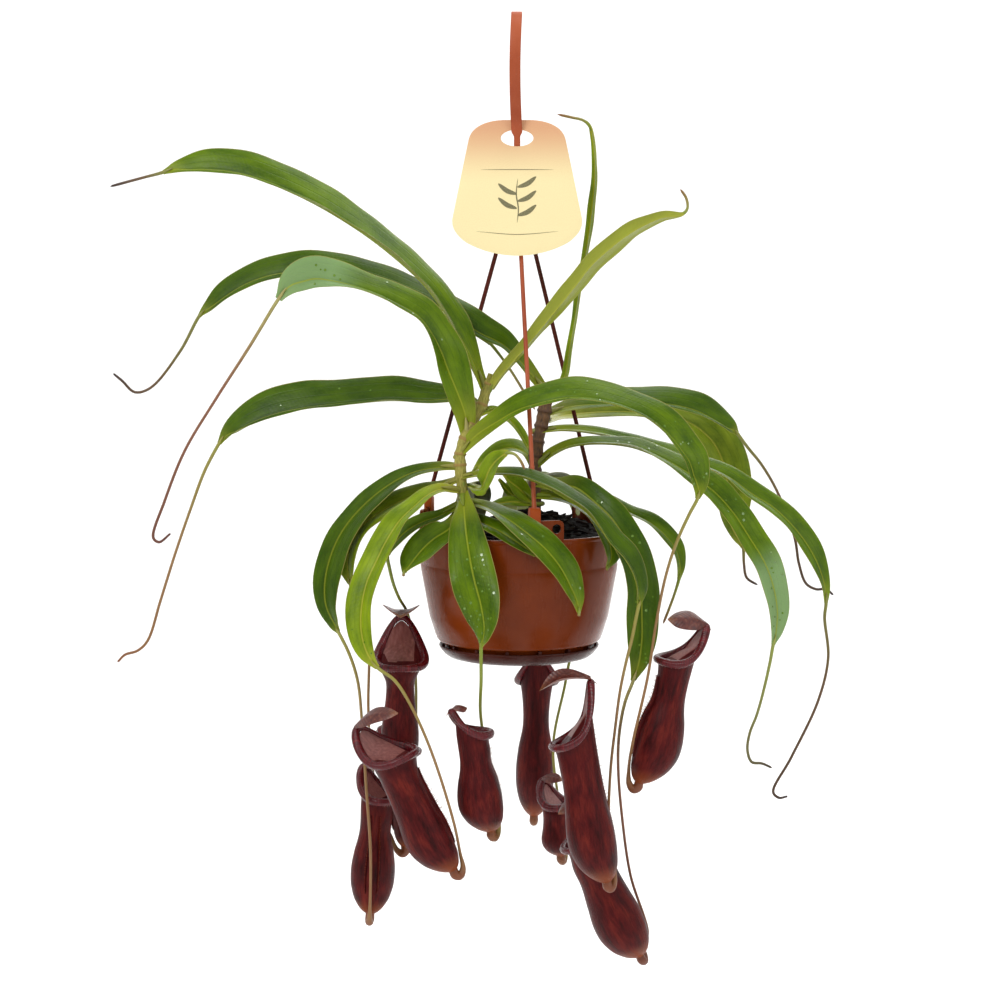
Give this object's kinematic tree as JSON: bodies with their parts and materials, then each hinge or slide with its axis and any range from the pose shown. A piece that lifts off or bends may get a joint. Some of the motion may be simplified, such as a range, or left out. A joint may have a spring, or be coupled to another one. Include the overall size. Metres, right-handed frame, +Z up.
{
  "type": "hanging pitcher plant",
  "caption": "Tropical pitcher plant in a terracotta-coloured plastic hanging pot: arching strap leaves, dark red pitchers on tendrils, a strand hanger with a top hook and a tag.",
  "frame": {"origin": "middle of the flat underside of the hook crown, where the hook rests on what it hangs from", "axes": "+Z up, the long way of the hanging plant; the tag and the front ear of the pot face -Y; +X to the right of that view"},
  "size_m": [0.5176, 0.221, 0.6583],
  "materials": {
    "leaf": "glossy green leaf",
    "stem_left": "green stem with brown nodes",
    "stem_right": "brown woody stem",
    "pitcher": "dark red, half glossy",
    "pot_plastic": "glossy terracotta plastic",
    "hanger_plastic": "copper-pink plastic",
    "tag_card": "matt card",
    "potting_mix": "damp bark and peat"
  },
  "bodies": {
    "root": {"hanger_hook": "hanger_plastic", "strand_front": "hanger_plastic", "strand_back_right": "hanger_plastic", "strand_back_left": "hanger_plastic", "tag": "tag_card", "pot": "pot_plastic", "saucer": "pot_plastic", "potting_mix": "potting_mix", "stem_left": "stem_left", "stem_right": "stem_right", "leaf_01": "leaf", "leaf_02": "leaf", "leaf_03": "leaf", "leaf_04": "leaf", "leaf_05": "leaf", "leaf_06": "leaf", "leaf_07": "leaf", "leaf_08": "leaf", "leaf_09": "leaf", "leaf_10": "leaf", "leaf_11": "leaf", "leaf_12": "leaf", "leaf_13": "leaf", "leaf_14": "leaf", "leaf_15": "leaf", "leaf_16": "leaf", "leaf_17": "leaf", "leaf_18": "leaf", "leaf_19": "leaf", "leaf_20": "leaf", "leaf_21": "leaf", "leaf_22": "leaf", "leaf_23": "leaf", "leaf_24": "leaf", "leaf_25": "leaf", "leaf_26": "leaf", "leaf_27": "leaf", "leaf_28": "leaf", "leaf_29": "leaf", "leaf_30": "leaf", "basal_shoot": "leaf", "pitcher_a": "pitcher", "pitcher_b": "pitcher", "pitcher_c": "pitcher", "pitcher_d": "pitcher", "pitcher_e": "pitcher", "pitcher_f": "pitcher", "pitcher_g": "pitcher", "pitcher_h": "pitcher", "pitcher_i": "pitcher", "pitcher_j": "pitcher"}
  },
  "joints": []
}
